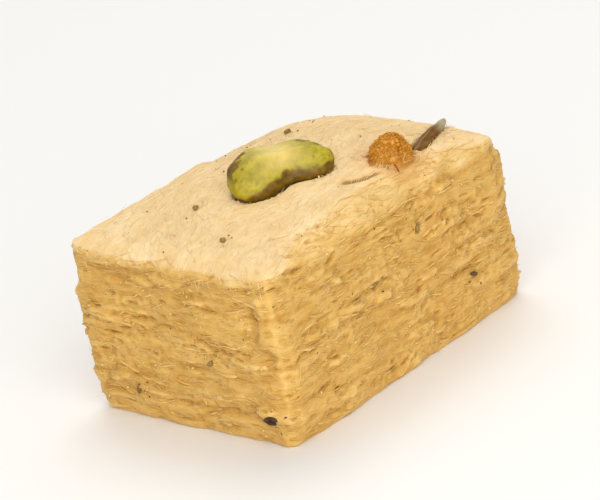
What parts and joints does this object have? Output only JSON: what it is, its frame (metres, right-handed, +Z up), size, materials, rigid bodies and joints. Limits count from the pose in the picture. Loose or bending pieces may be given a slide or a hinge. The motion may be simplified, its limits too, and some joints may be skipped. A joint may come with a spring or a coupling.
{
  "type": "soan papdi",
  "caption": "Cut block of soan papdi, pressed layers of pulled-sugar floss with flaky sides, garnished with half a pistachio, a dark sliver, cardamom specks and a dab of saffron.",
  "frame": {"origin": "middle of the cut base that the block stands on", "axes": "+Z up out of the pressed top, +X along the block's length towards its narrower end, +Y across its width"},
  "size_m": [0.047, 0.033, 0.0284],
  "materials": {
    "sugar_floss": "matt, fibrous and crumbly",
    "pistachio": "smooth, slightly oily",
    "dark_skin": "dry, wrinkled skin"
  },
  "bodies": {
    "root": {"papdi_block": "sugar_floss", "pistachio_half": "pistachio", "dark_sliver": "dark_skin"}
  },
  "joints": []
}
